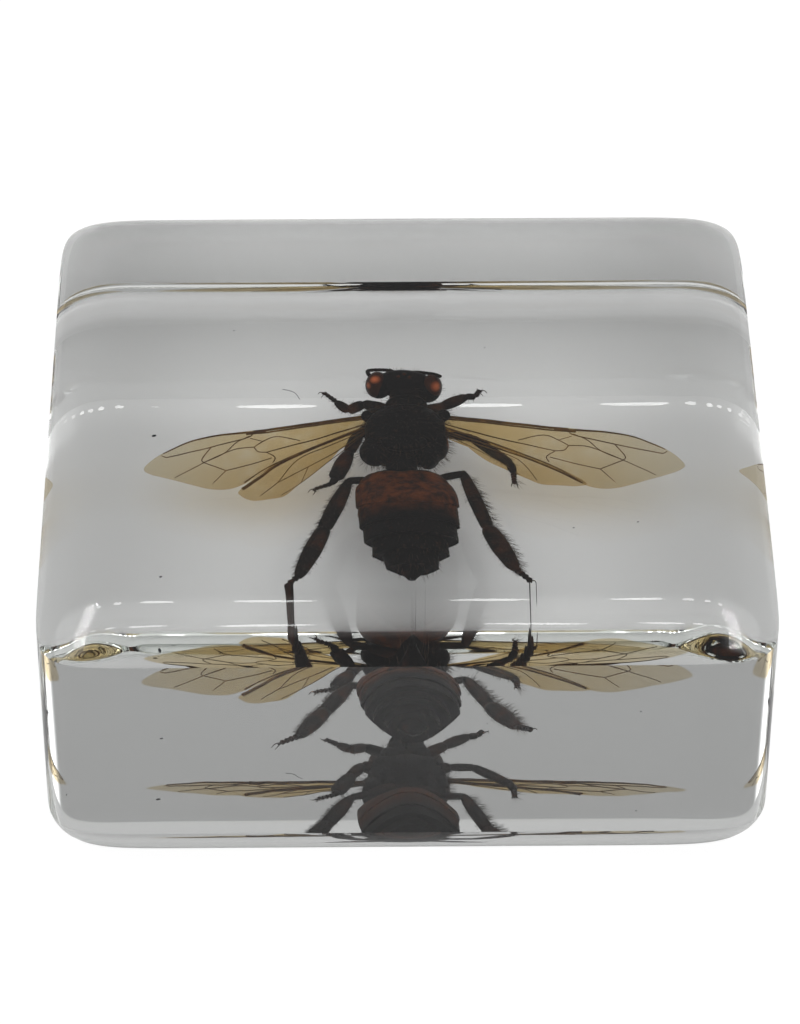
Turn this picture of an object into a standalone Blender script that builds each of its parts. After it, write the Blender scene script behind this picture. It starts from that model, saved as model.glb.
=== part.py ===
"""A honey bee cast in a small block of clear resin.

The block stands on its flat underside, centred on the origin, with +Z up and the bee's head towards +Y.
It is parted at the height of the wings, and each half holds its share of the pocket round the bee.
Sizes below are in millimetres.
"""

import math

import bmesh
import bpy
from mathutils import Matrix, Vector

MM = 0.001
SMOOTH_UP_TO_DEG = 35.0

# The block: nearly square in plan, with sides that bow gently into soft corners.
BLOCK_WIDTH = 40.0
BLOCK_DEPTH = 38.3
BLOCK_HEIGHT = 17.5
PLAN_EXPONENT = 16.0
PLAN_POINTS = 64

# Its top edge is the upper part of a quarter ellipse, which meets the upright sides in a crease. Its lower edge is
# an arc that meets side and underside in creases.
TOP_EDGE_WIDTH = 5.0
TOP_EDGE_DROP = 3.4
TOP_EDGE_FROM_DEG = 26.3
TOP_EDGE_STEPS = 6
FOOT_ROUND = 5.15
FOOT_ROUND_FROM_DEG = 12.0
FOOT_ROUND_TO_DEG = 52.5
FOOT_ROUND_STEPS = 4

# Finishes: plain base colours, roughness and, for the resin, how far it bends light.
RESIN_COLOUR = (0.97, 0.97, 0.95)
RESIN_ROUGHNESS = 0.02
RESIN_IOR = 1.57
RESIN_ALPHA = 0.35
CHITIN_COLOUR = (0.035, 0.022, 0.014)
CHITIN_ROUGHNESS = 0.4

# The two halves, and the free space round the sealed bee.
PARTING_HEIGHT = 4.4
PARTING_GAP = 0.3
POCKET_CLEARANCE = 0.35

# Head and thorax: centre and radii of each rounded mass.
THORAX_CENTRE = (0.1, 4.6, 5.3)
THORAX_RADII = (2.5, 3.15, 2.3)
HEAD_CENTRE = (0.1, 8.5, 5.6)
HEAD_RADII = (2.2, 1.35, 1.55)
HEAD_TURN_DEG = -5.0
EYE_OFFSET = (1.72, -0.25, 0.1)
EYE_RADII = (0.62, 1.1, 1.2)
MASS_SEGMENTS = 20
MASS_RINGS = 12

# Abdomen: where each back plate ends along Y, its half width there and its centre in X.
ABDOMEN_HEIGHT = 4.9
ABDOMEN_FLATTENING = 0.86
WAIST_STATIONS = ((2.4, 0.85, -0.1), (1.35, 0.95, -0.1))
PLATE_STATIONS = (
    (1.05, 1.95, -0.1),
    (-0.35, 2.75, 0.05),
    (-1.75, 3.0, 0.22),
    (-3.4, 2.84, 0.3),
    (-4.7, 2.6, 0.35),
    (-6.0, 2.12, 0.33),
    (-7.25, 1.38, 0.33),
)
TAIL_STATION = (-7.95, 0.3, 0.3)
PLATE_STEP = 0.1
PLATE_TUCK = 0.12
ABDOMEN_SIDES = 20

# Wings: plan outlines from the front of the root, round the tip and back, and the plane that each lies in.
WING_THICKNESS = 0.22
WING_HEIGHT = 4.4
WING_HEIGHT_AT_Y = 1.4
WING_PITCH = 0.25
LEFT_WING_DROOP = 0.045
WING_DROOP_FROM_X = 6.0
HINDWING_DROP = 0.1
LEFT_FOREWING = (
    (-1.6, 5.76), (-6.1, 4.9), (-8.8, 4.81), (-11.0, 4.52), (-12.6, 3.95), (-13.9, 3.1), (-14.7, 2.05),
    (-14.5, 1.52), (-12.9, 0.91), (-10.6, 0.33), (-9.4, 0.33), (-7.1, 2.24), (-1.6, 4.81),
)
LEFT_HINDWING = (
    (-1.6, 5.09), (-7.2, 2.43), (-9.4, 0.43), (-9.3, -0.05), (-8.6, -0.43), (-6.8, -0.14), (-6.0, 0.72),
    (-4.4, 2.24), (-3.2, 3.76), (-1.6, 4.43),
)
RIGHT_FOREWING = (
    (1.8, 5.86), (5.0, 5.38), (7.9, 4.9), (11.5, 4.52), (13.3, 4.14), (15.1, 3.1), (16.0, 2.2),
    (16.0, 1.67), (15.2, 1.29), (13.3, 0.62), (11.3, 0.24), (10.1, 0.62), (8.0, 2.24), (1.8, 4.81),
)
RIGHT_HINDWING = (
    (1.8, 5.09), (8.2, 2.24), (10.4, 0.81), (9.9, 0.43), (7.8, 0.62), (6.6, 1.19), (4.9, 2.71),
    (3.4, 3.95), (1.8, 4.43),
)

# Legs and feelers: the points along each, with the radius there.
LIMB_SIDES = 8
LIMBS = {
    "left_foreleg": (
        ((-0.8, 6.71, 4.4), 0.5), ((-2.2, 7.66, 3.9), 0.36), ((-3.2, 7.19, 3.8), 0.34),
        ((-4.1, 8.33, 3.8), 0.22), ((-4.55, 8.81, 3.8), 0.16), ((-4.85, 8.62, 3.8), 0.07),
    ),
    "right_foreleg": (
        ((1.0, 6.52, 4.2), 0.5), ((2.3, 7.57, 3.7), 0.36), ((3.3, 8.24, 3.5), 0.34),
        ((4.1, 9.0, 3.4), 0.22), ((4.5, 9.19, 3.4), 0.16), ((4.85, 8.85, 3.4), 0.07),
    ),
    "left_midleg": (
        ((-1.2, 5.0, 4.4), 0.55), ((-2.5, 5.0, 4.1), 0.4), ((-3.15, 3.48, 4.0), 0.36),
        ((-3.95, 1.1, 4.1), 0.24), ((-5.0, 0.24, 4.2), 0.14), ((-5.35, -0.14, 4.2), 0.06),
    ),
    "right_midleg": (
        ((1.2, 4.81, 4.4), 0.55), ((2.6, 4.9, 4.0), 0.4), ((4.0, 4.62, 3.9), 0.38),
        ((5.5, 2.81, 4.1), 0.26), ((6.15, 2.24, 4.2), 0.2), ((6.3, 0.62, 4.3), 0.12), ((6.3, 0.38, 4.3), 0.06),
    ),
    "left_hindleg": (
        ((-0.9, 2.3, 4.2), 0.5), ((-2.2, 1.25, 4.2), 0.45), ((-3.1, 0.8, 4.4), 0.4), ((-4.5, -3.2, 4.5), 0.5),
        ((-4.75, -3.85, 4.5), 0.42), ((-6.15, -7.6, 4.5), 0.3), ((-6.9, -8.2, 4.6), 0.14),
        ((-7.4, -8.6, 4.35), 0.06),
    ),
    "right_hindleg": (
        ((0.9, 2.15, 4.3), 0.5), ((2.2, 1.4, 4.4), 0.45), ((3.35, 1.2, 4.6), 0.4), ((4.7, -3.5, 4.9), 0.5),
        ((4.9, -3.95, 4.9), 0.42), ((6.15, -6.85, 5.0), 0.3), ((6.9, -8.0, 5.35), 0.14),
        ((7.1, -8.3, 5.45), 0.06),
    ),
    "left_feeler": (
        ((-0.3, 9.28, 6.0), 0.17), ((-0.9, 9.9, 6.1), 0.14), ((-1.95, 9.76, 6.2), 0.13), ((-2.0, 9.19, 6.4), 0.1),
    ),
    "right_feeler": (
        ((0.4, 9.19, 6.1), 0.17), ((1.0, 9.85, 6.2), 0.14), ((1.9, 9.52, 6.4), 0.13), ((2.2, 8.9, 6.8), 0.1),
    ),
}


def clear_scene():
    """Remove whatever the scene holds."""
    for old in list(bpy.data.objects):
        bpy.data.objects.remove(old, do_unlink=True)


def make_material(name, colour, roughness, transmission=0.0, ior=1.5, alpha=1.0):
    """A Principled material with one plain finish that isn't metal."""
    material = bpy.data.materials.new(name)
    material.use_nodes = True
    shader = material.node_tree.nodes["Principled BSDF"]
    shader.inputs["Base Color"].default_value = (*colour, 1.0)
    shader.inputs["Roughness"].default_value = roughness
    shader.inputs["Metallic"].default_value = 0.0
    shader.inputs["Transmission Weight"].default_value = transmission
    shader.inputs["IOR"].default_value = ior
    shader.inputs["Alpha"].default_value = alpha
    return material


def object_from(shape, name, material=None):
    """Turn a bmesh in millimetres into an object in metres, with its faces pointing out."""
    bmesh.ops.recalc_face_normals(shape, faces=shape.faces)
    bmesh.ops.scale(shape, vec=(MM, MM, MM), verts=shape.verts)
    mesh = bpy.data.meshes.new(name)
    shape.to_mesh(mesh)
    shape.free()
    mesh.shade_smooth()
    mesh.set_sharp_from_angle(angle=math.radians(SMOOTH_UP_TO_DEG))
    if material is not None:
        mesh.materials.append(material)
    made = bpy.data.objects.new(name, mesh)
    bpy.context.scene.collection.objects.link(made)
    return made


def as_helper(helper):
    """Keep an object as a cutter or filler that isn't a piece of its own."""
    helper.hide_render = True
    helper.display_type = "WIRE"
    return helper


def loft(rings):
    """A closed shape through rings of points that all have the same count, capped at both ends."""
    shape = bmesh.new()
    loops = [[shape.verts.new(point) for point in ring] for ring in rings]
    edges = []
    for loop in loops:
        edges.append([shape.edges.new((loop[i - 1], loop[i])) for i in range(len(loop))])
    for lower, upper in zip(edges, edges[1:]):
        bmesh.ops.bridge_loops(shape, edges=lower + upper)
    for end in (loops[0], loops[-1]):
        shape.faces.new(end)
    return shape


# ---------------------------------------------------------------- block

def plan_ring(inset, height):
    """The block's plan outline, drawn in by inset, at one height."""
    half_x = BLOCK_WIDTH / 2 - inset
    half_y = BLOCK_DEPTH / 2 - inset
    power = 2.0 / PLAN_EXPONENT
    ring = []
    for i in range(PLAN_POINTS):
        turn = 2 * math.pi * (i + 0.5) / PLAN_POINTS
        across, along = math.cos(turn), math.sin(turn)
        x = math.copysign(half_x * abs(across) ** power, across)
        y = math.copysign(half_y * abs(along) ** power, along)
        ring.append((x, y, height))
    return ring


def foot_profile():
    """(inset, height) up the rounded lower edge, from the flat underside to the upright sides."""
    first = math.radians(FOOT_ROUND_FROM_DEG)
    last = math.radians(FOOT_ROUND_TO_DEG)
    profile = []
    for i in range(FOOT_ROUND_STEPS + 1):
        tilt = last + (first - last) * i / FOOT_ROUND_STEPS
        inset = FOOT_ROUND * (math.cos(first) - math.cos(tilt))
        height = FOOT_ROUND * (math.sin(last) - math.sin(tilt))
        profile.append((inset, height))
    return profile


def top_profile():
    """(inset, height) up the top edge, from its crease with the upright sides to the flat top."""
    first = math.radians(TOP_EDGE_FROM_DEG)
    profile = []
    for i in range(TOP_EDGE_STEPS + 1):
        turn = first + (math.pi / 2 - first) * i / TOP_EDGE_STEPS
        inset = TOP_EDGE_WIDTH * (math.cos(first) - math.cos(turn))
        height = BLOCK_HEIGHT - TOP_EDGE_DROP * (1 - math.sin(turn))
        profile.append((inset, height))
    return profile


def make_half(name, profile, material, pocket):
    """One half of the block, with the pocket cut out of it."""
    half = object_from(loft([plan_ring(inset, height) for inset, height in profile]), name, material)
    cut = half.modifiers.new("pocket", "BOOLEAN")
    cut.operation = "DIFFERENCE"
    cut.solver = "EXACT"
    cut.object = pocket
    return half


# ---------------------------------------------------------------- bee

def rounded_mass(centre, radii, turn_deg=0.0, grown=0.0):
    """An ellipsoid, turned about Z and then set at its centre."""
    shape = bmesh.new()
    bmesh.ops.create_uvsphere(shape, u_segments=MASS_SEGMENTS, v_segments=MASS_RINGS, radius=1.0)
    size = Matrix.Diagonal((*(radius + grown for radius in radii), 1.0))
    turn = Matrix.Rotation(math.radians(turn_deg), 4, "Z")
    shape.transform(Matrix.Translation(centre) @ turn @ size)
    return shape


def abdomen_ring(station, grown):
    """One cross-section of the abdomen, at a station of (y, half width, centre in x)."""
    y, half_width, centre_x = station
    wide = half_width + grown
    high = half_width * ABDOMEN_FLATTENING + grown
    ring = []
    for i in range(ABDOMEN_SIDES):
        turn = 2 * math.pi * i / ABDOMEN_SIDES
        ring.append((centre_x + wide * math.cos(turn), y, ABDOMEN_HEIGHT + high * math.sin(turn)))
    return ring


def abdomen(grown=0.0):
    """The waist and the overlapping back plates, each plate's edge standing proud of the next."""
    stations = list(WAIST_STATIONS)
    for y, half_width, centre_x in PLATE_STATIONS:
        stations.append((y, half_width, centre_x))
        if grown == 0.0:
            stations.append((y - PLATE_TUCK, half_width - PLATE_STEP, centre_x))
    stations.append(TAIL_STATION)
    rings = [abdomen_ring(station, grown) for station in stations]
    if grown:
        front = tuple(Vector(point) + Vector((0, grown, 0)) for point in rings[0])
        back = tuple(Vector(point) - Vector((0, grown, 0)) for point in rings[-1])
        rings = [front, *rings[1:-1], back]
    return loft(rings)


def wing_height(x, y, drop):
    """The height of a wing's middle plane over one point of its plan."""
    droop = LEFT_WING_DROOP * (x + WING_DROOP_FROM_X) if x < 0 else 0.0
    return WING_HEIGHT - drop + WING_PITCH * (y - WING_HEIGHT_AT_Y) + droop


def grown_outline(outline, distance):
    """A plan outline moved outwards along the mean normal at each of its points."""
    points = [Vector(point) for point in outline]
    area = sum(a.cross(b) for a, b in zip(points, points[1:] + points[:1]))
    side = math.copysign(1.0, area)
    moved = []
    for i, point in enumerate(points):
        before = (point - points[i - 1]).normalized()
        after = (points[(i + 1) % len(points)] - point).normalized()
        along = (before + after).normalized()
        moved.append(point + side * distance * Vector((along.y, -along.x)))
    return moved


def wing(outline, drop=0.0, grown=0.0):
    """A thin slab in the wing's own tilted plane."""
    half = WING_THICKNESS / 2 + grown
    plan = grown_outline(outline, grown)
    rings = []
    for lift in (-half, half):
        rings.append([(point.x, point.y, wing_height(point.x, point.y, drop) + lift) for point in plan])
    return loft(rings)


def limb(stations, grown=0.0):
    """A tapering tube through (point, radius) stations, square to its path at each of them."""
    points = [Vector(point) for point, _ in stations]
    rings = []
    for i, (_, radius) in enumerate(stations):
        before = points[max(i - 1, 0)]
        after = points[min(i + 1, len(points) - 1)]
        along = (after - before).normalized()
        side = along.cross(Vector((0, 0, 1))).normalized()
        rise = side.cross(along).normalized()
        centre = points[i]
        if i in (0, len(points) - 1):
            centre = centre + along * grown * (1 if i else -1)
        ring = []
        for j in range(LIMB_SIDES):
            turn = 2 * math.pi * j / LIMB_SIDES
            reach = side * math.cos(turn) + rise * math.sin(turn)
            ring.append(centre + reach * (radius + grown))
        rings.append(ring)
    return loft(rings)


def bee_masses(grown=0.0):
    """Every part of the bee but the thorax, as named shapes that reach into their neighbours."""
    head = Vector(HEAD_CENTRE)
    turn = Matrix.Rotation(math.radians(HEAD_TURN_DEG), 3, "Z")
    masses = {
        "head": rounded_mass(head, HEAD_RADII, HEAD_TURN_DEG, grown),
        "abdomen": abdomen(grown),
        "left_forewing": wing(LEFT_FOREWING, 0.0, grown),
        "left_hindwing": wing(LEFT_HINDWING, HINDWING_DROP, grown),
        "right_forewing": wing(RIGHT_FOREWING, 0.0, grown),
        "right_hindwing": wing(RIGHT_HINDWING, HINDWING_DROP, grown),
    }
    for side, name in ((-1, "left_eye"), (1, "right_eye")):
        offset = turn @ Vector((side * EYE_OFFSET[0], EYE_OFFSET[1], EYE_OFFSET[2]))
        masses[name] = rounded_mass(head + offset, EYE_RADII, HEAD_TURN_DEG, grown)
    for name, stations in LIMBS.items():
        masses[name] = limb(stations, grown)
    return masses


def fused_bee(name, material=None, grown=0.0):
    """The whole bee as one body: the thorax, with every other mass united to it."""
    fused = object_from(rounded_mass(THORAX_CENTRE, THORAX_RADII, 0.0, grown), name, material)
    for part_name, shape in bee_masses(grown).items():
        piece = as_helper(object_from(shape, f"{name}_{part_name}", material))
        join = fused.modifiers.new(part_name, "BOOLEAN")
        join.operation = "UNION"
        join.solver = "EXACT"
        join.object = piece
    return fused


def main():
    """Build the bee, the pocket round it and the two halves of the block."""
    clear_scene()
    chitin = make_material("bee_chitin", CHITIN_COLOUR, CHITIN_ROUGHNESS)
    resin = make_material("clear_resin", RESIN_COLOUR, RESIN_ROUGHNESS, 1.0, RESIN_IOR, RESIN_ALPHA)

    fused_bee("bee", chitin)
    pocket = as_helper(fused_bee("pocket_form", grown=POCKET_CLEARANCE))

    lower = [*foot_profile(), (0.0, PARTING_HEIGHT - PARTING_GAP / 2)]
    upper = [(0.0, PARTING_HEIGHT + PARTING_GAP / 2), *top_profile()]
    make_half("resin_lower", lower, resin, pocket)
    make_half("resin_upper", upper, resin, pocket)


main()
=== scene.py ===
"""A honey bee sealed in a small block of clear resin, in a plain studio.

Sizes are in millimetres, in the block's own frame: the origin is the centre of the flat underside, +Z is up
and the bee's head points to +Y. Meshes are brought to metres when a piece is finished.
"""

import enum
import logging
import math
import random
from collections.abc import Callable, Iterable, Sequence
from dataclasses import dataclass

import bmesh
import bpy
from mathutils import Matrix, Vector, noise


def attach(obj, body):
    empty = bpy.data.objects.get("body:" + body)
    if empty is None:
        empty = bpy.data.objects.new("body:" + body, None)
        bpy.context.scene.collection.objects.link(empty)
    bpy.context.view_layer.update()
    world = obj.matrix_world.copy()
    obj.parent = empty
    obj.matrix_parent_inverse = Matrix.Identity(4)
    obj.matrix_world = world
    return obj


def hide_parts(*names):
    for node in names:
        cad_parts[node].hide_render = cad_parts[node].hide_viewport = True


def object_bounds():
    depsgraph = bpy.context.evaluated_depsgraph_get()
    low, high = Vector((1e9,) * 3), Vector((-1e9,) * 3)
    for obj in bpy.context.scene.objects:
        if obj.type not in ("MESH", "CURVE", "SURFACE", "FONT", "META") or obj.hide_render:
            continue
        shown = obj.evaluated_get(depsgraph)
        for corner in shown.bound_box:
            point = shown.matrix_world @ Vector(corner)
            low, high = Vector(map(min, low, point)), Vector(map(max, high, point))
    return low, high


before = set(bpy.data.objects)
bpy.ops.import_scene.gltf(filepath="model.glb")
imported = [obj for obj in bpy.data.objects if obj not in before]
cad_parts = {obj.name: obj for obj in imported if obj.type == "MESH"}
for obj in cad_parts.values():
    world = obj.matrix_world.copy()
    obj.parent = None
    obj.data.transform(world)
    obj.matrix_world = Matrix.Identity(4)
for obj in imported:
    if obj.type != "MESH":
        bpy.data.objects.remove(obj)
CAD_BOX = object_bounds()

MM = 0.001
UP = Vector((0.0, 0.0, 1.0))
LOG = logging.getLogger("scene")
WHITE = (1.0, 1.0, 1.0, 1.0)

Shape, Vert, Edge = bmesh.types.BMesh, bmesh.types.BMVert, bmesh.types.BMEdge
Tree, Socket, Outputs = bpy.types.NodeTree, bpy.types.NodeSocket, bpy.types.NodeOutputs
Point = tuple[float, float, float]
Spot = tuple[float, float, float, float]
Pair = tuple[float, float]
Colour = tuple[float, float, float]
Zone = tuple[float, float, float, float, float]
Inputs = dict[str | int, float | Spot | Socket]


class Side(enum.Enum):
    """The bee's two sides, with the sign of X on each."""

    LEFT = -1
    RIGHT = 1


# ---------------------------------------------------------------- shader tools

class Bench:
    """Adds nodes to a node tree and wires them."""

    def __init__(self, tree: Tree) -> None:
        """Work on one node tree."""
        self.tree = tree

    def fill(self, node: bpy.types.Node, inputs: Inputs) -> None:
        """Give named or numbered inputs of a node their values or source sockets.

        Args:
            node: the node.
            inputs: value or source socket for each input.
        """
        for name, value in inputs.items():
            if isinstance(value, Socket):
                self.tree.links.new(value, node.inputs[name])
            else:
                node.inputs[name].default_value = value

    def add(self, kind: str, inputs: Inputs | None = None, **settings: object) -> bpy.types.Node:
        """Add a shader node.

        Args:
            kind: Blender's name of the node type, without its prefix.
            inputs: value or source socket for each named or numbered input.
            settings: properties of the node itself.

        Returns:
            The new node.
        """
        node = self.tree.nodes.new("ShaderNode" + kind)
        for name, value in settings.items():
            setattr(node, name, value)
        self.fill(node, inputs or {})
        return node

    def math(self, operation: str, *values: float | Socket) -> Socket:
        """The result of one operation on numbers."""
        return self.add("Math", dict(enumerate(values)), operation=operation).outputs[0]

    def measure(self, operation: str, *vectors: Socket) -> Socket:
        """The number that an operation on vectors gives."""
        return self.add("VectorMath", dict(enumerate(vectors)), operation=operation).outputs["Value"]

    def ramp(self, source: Socket, start: float | Socket, end: float | Socket, first: float = 0.0,
             last: float = 1.0) -> Socket:
        """A value that runs smoothly from first, where the source is start, to last, where it is end."""
        return self.add("MapRange", {"Value": source, "From Min": start, "From Max": end, "To Min": first,
                                     "To Max": last}, interpolation_type="SMOOTHSTEP").outputs[0]

    def between(self, share: Socket, first: float | Socket, second: float | Socket) -> Socket:
        """A number between two others by a share from 0 to 1."""
        return self.add("Mix", {"Factor": share, 2: first, 3: second}).outputs[0]

    def blend(self, share: Socket, low: Colour | Socket, high: Colour) -> Socket:
        """A colour between low and high by a share from 0 to 1."""
        start = low if isinstance(low, Socket) else (*low, 1.0)
        return self.add("Mix", {"Factor": share, 6: start, 7: (*high, 1.0)}, data_type="RGBA").outputs[2]

    def millimetres(self) -> Socket:
        """The place on the object, in millimetres."""
        place = self.add("TexCoord").outputs["Object"]
        return self.add("VectorMath", {0: place, "Scale": 1.0 / MM}, operation="SCALE").outputs[0]

    def use(self, group: Tree, *values: float) -> Socket:
        """The output of a node group whose inputs have these values, in order."""
        return self.add("Group", dict(enumerate(values)), node_tree=group).outputs[0]


def new_group(name: str, inputs: dict[str, float], output: str,
              rule: Callable[[Bench, Outputs], Socket]) -> Tree:
    """Make a shader node group.

    Args:
        name: the group's name.
        inputs: each float input with its usual value.
        output: the name of the one float output.
        rule: adds the nodes, given a bench and the group's inputs, and returns what goes out.

    Returns:
        The group.
    """
    group = bpy.data.node_groups.new(name, "ShaderNodeTree")
    for label, value in inputs.items():
        group.interface.new_socket(label, in_out="INPUT", socket_type="NodeSocketFloat").default_value = value
    group.interface.new_socket(output, in_out="OUTPUT", socket_type="NodeSocketFloat")
    result = rule(Bench(group), group.nodes.new("NodeGroupInput").outputs)
    group.links.new(result, group.nodes.new("NodeGroupOutput").inputs[output])
    return group


def mottle(bench: Bench, given: Outputs) -> Socket:
    """Cloudy patches, as a mask from 0 to 1.

    Args:
        bench: the bench of the group.
        given: the group's inputs.

    Returns:
        The mask.
    """
    cloud = bench.add("TexNoise", {"Vector": bench.millimetres(), "Scale": given["Per mm"], "Detail": 5.0,
                                   "Roughness": 0.6})
    return bench.ramp(cloud.outputs[0], given["From"], given["To"])


def given_vector(bench: Bench, given: Outputs) -> Socket:
    """The vector of a group's X, Y and Z inputs."""
    return bench.add("CombineXYZ", {axis: given[axis] for axis in "XYZ"}).outputs[0]


def reach(bench: Bench, given: Outputs) -> Socket:
    """How far a place lies between two marks along a direction, as a mask from 0 to 1."""
    along = bench.measure("DOT_PRODUCT", bench.millimetres(), given_vector(bench, given))
    return bench.ramp(along, given["From"], given["To"])


def near(bench: Bench, given: Outputs) -> Socket:
    """How near a place lies to a centre, as a mask that falls from 1 to 0 at the radius."""
    away = bench.measure("DISTANCE", bench.millimetres(), given_vector(bench, given))
    return bench.ramp(away, 0.0, given["Radius"], 1.0, 0.0)


def pits(bench: Bench, given: Outputs) -> Socket:
    """Fine cell-like relief, as a height from 0 to 1."""
    place = {"Vector": bench.millimetres(), "Scale": given["Per mm"]}
    cells = bench.add("TexVoronoi", place, feature="SMOOTH_F1")
    return cells.outputs["Distance"]


@dataclass(frozen=True)
class Effects:
    """The node groups that several finishes share."""

    mottle: Tree
    reach: Tree
    near: Tree
    pits: Tree

    @staticmethod
    def made() -> "Effects":
        """Build each group once.

        Returns:
            The groups.
        """
        place = {"X": 0.0, "Y": 0.0, "Z": 0.0}
        return Effects(
            new_group("grown_mottle", {"Per mm": 1.0, "From": 0.4, "To": 0.7}, "Mask", mottle),
            new_group("reach_along", {**place, "Y": 1.0, "From": 0.0, "To": 1.0}, "Mask", reach),
            new_group("near_centre", {**place, "Radius": 0.5}, "Mask", near),
            new_group("fine_pits", {"Per mm": 8.0}, "Height", pits))


def new_material(name: str) -> tuple[bpy.types.Material, Bench, bpy.types.Node, bpy.types.Node]:
    """A material with its bench, its Principled shader and its output.

    Args:
        name: the material's name.

    Returns:
        The material, its bench, its Principled shader and its output.
    """
    material = bpy.data.materials.new(name)
    material.use_nodes = True
    nodes = material.node_tree.nodes
    return material, Bench(material.node_tree), nodes["Principled BSDF"], nodes["Material Output"]


# ---------------------------------------------------------------- finishes

@dataclass(frozen=True)
class ResinFinish:
    """Polished casting resin: clear, and very slightly grey in depth."""

    name: str = "clear_resin"
    ior: float = 1.567
    tint: Colour = (0.90, 0.93, 0.90)
    density: float = 9.0

    def material(self) -> bpy.types.Material:
        """The resin's material.

        Returns:
            The material.
        """
        material, bench, shader, out = new_material(self.name)
        bench.fill(shader, {"Base Color": WHITE, "Roughness": 0.0, "IOR": self.ior,
                            "Transmission Weight": 1.0})
        depth = bench.add("VolumeAbsorption", {"Color": (*self.tint, 1.0), "Density": self.density})
        bench.fill(out, {"Volume": depth.outputs[0]})
        return material


@dataclass(frozen=True)
class ChitinFinish:
    """Dark grown shell that turns to a warm brown in patches, within a zone and round a few centres.

    The zone is a direction and the two marks along it. A spot is a centre and its radius. Both are in
    millimetres.
    """

    name: str
    dark: Colour = (0.004, 0.003, 0.003)
    warm: Colour = (0.035, 0.010, 0.004)
    patch_per_mm: float = 0.9
    patch_from: float = 0.6
    patch_to: float = 0.85
    zone: Zone = (0.0, 1.0, 0.0, 50.0, 60.0)
    zone_warm: Colour = (0.16, 0.048, 0.014)
    streak_fineness: float = 1.7
    streak_range: Pair = (0.25, 0.75)
    spots: tuple[Spot, ...] = ()
    pits_per_mm: float = 7.0
    pit_depth: float = 0.00002
    roughness: float = 0.45
    specular: float = 0.02

    def material(self, effects: Effects) -> bpy.types.Material:
        """The shell's material: patches over the dark ground, and the zone and the spots over both.

        Args:
            effects: the shared node groups.

        Returns:
            The material.
        """
        material, bench, shader, _ = new_material(self.name)
        patches = bench.use(effects.mottle, self.patch_per_mm, self.patch_from, self.patch_to)
        streaks = bench.use(effects.mottle, self.patch_per_mm * self.streak_fineness, *self.streak_range)
        share = bench.math("MULTIPLY", bench.use(effects.reach, *self.zone), streaks)
        for spot in self.spots:
            share = bench.math("MAXIMUM", share, bench.use(effects.near, *spot))
        colour = bench.blend(share, bench.blend(patches, self.dark, self.warm), self.zone_warm)
        relief = bench.use(effects.pits, self.pits_per_mm)
        bump = bench.add("Bump", {"Height": relief, "Distance": self.pit_depth})
        bench.fill(shader, {"Base Color": colour, "Normal": bump.outputs[0], "Roughness": self.roughness,
                            "Specular IOR Level": self.specular})
        return material


@dataclass(frozen=True)
class MembraneFinish:
    """Smoky wing film: light passes and is tinted, more deeply in clouds round the root's centre."""

    name: str = "wing_membrane"
    thin: Colour = (0.93, 0.88, 0.77)
    deep: Colour = (0.86, 0.71, 0.42)
    root: Spot = (0.0, 3.5, 5.0, 17.0)
    clouds: tuple[float, float, float] = (0.55, 0.1, 0.6)
    film: Colour = (0.20, 0.15, 0.08)
    film_share: float = 0.07
    roughness: float = 0.5
    specular: float = 0.1

    def material(self, effects: Effects) -> bpy.types.Material:
        """The film's material: a tinted see-through shader with a little body colour over it.

        Args:
            effects: the shared node groups.

        Returns:
            The material.
        """
        material, bench, shader, out = new_material(self.name)
        cloud = bench.use(effects.mottle, *self.clouds)
        share = bench.math("MULTIPLY", cloud, bench.use(effects.near, *self.root))
        clear = bench.add("BsdfTransparent", {"Color": bench.blend(share, self.thin, self.deep)})
        bench.fill(shader, {"Base Color": (*self.film, 1.0), "Roughness": self.roughness,
                            "Specular IOR Level": self.specular})
        mix = bench.add("MixShader", {0: self.film_share, 1: clear.outputs[0], 2: shader.outputs[0]})
        bench.fill(out, {"Surface": mix.outputs[0]})
        return material


@dataclass(frozen=True)
class EmitterFinish:
    """A lamp's glowing face, which only gloss and clear resin show."""

    name: str
    strength: float

    def material(self) -> bpy.types.Material:
        """The lamp's material: it goes dark for light that has already met a matt surface.

        Returns:
            The material.
        """
        material, bench, shader, out = new_material(self.name)
        bench.tree.nodes.remove(shader)
        fresh = bench.math("LESS_THAN", bench.add("LightPath").outputs["Diffuse Depth"], 0.5)
        glow = bench.add("Emission", {"Strength": bench.math("MULTIPLY", fresh, self.strength)})
        bench.fill(out, {"Surface": glow.outputs[0]})
        material.cycles.emission_sampling = "NONE"
        return material


@dataclass(frozen=True)
class FloorFinish:
    """A matt pale floor with a painted pool of light that glows under the block, grey in what gloss and resin
    show, and plain white where it is seen directly.
    """

    name: str = "pale_floor_painted_glow"
    colour: Colour = (0.80, 0.80, 0.80)
    roughness: float = 0.9
    specular: float = 0.1
    # painted pool of light: the floor's glow at its centre under the block, and where it has faded out
    glow: Pair = (0.08, 0.01)
    painted_pool_reach: float = 27.0
    surround_share: float = 0.85
    surround_strength: float = 1.1

    def material(self) -> bpy.types.Material:
        """The floor's material: its glow, a painted pool of light, falls off from the centre.

        Returns:
            The material.
        """
        material, bench, shader, out = new_material(self.name)
        # painted pool of light: the glow is strongest under the block and fades out over the reach from the
        # centre
        glow = bench.ramp(bench.measure("LENGTH", bench.millimetres()), 0.0, self.painted_pool_reach, *self.glow)
        bench.fill(shader, {"Base Color": (*self.colour, 1.0), "Roughness": self.roughness,
                            "Specular IOR Level": self.specular, "Emission Color": WHITE,
                            "Emission Strength": glow})
        share = bench.math("MULTIPLY", bench.add("LightPath").outputs["Is Camera Ray"], self.surround_share)
        white = bench.add("Emission", {"Strength": self.surround_strength})
        mix = bench.add("MixShader", {0: share, 1: shader.outputs[0], 2: white.outputs[0]})
        bench.fill(out, {"Surface": mix.outputs[0]})
        material.cycles.emission_sampling = "NONE"
        return material


# ---------------------------------------------------------------- shape tools

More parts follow.
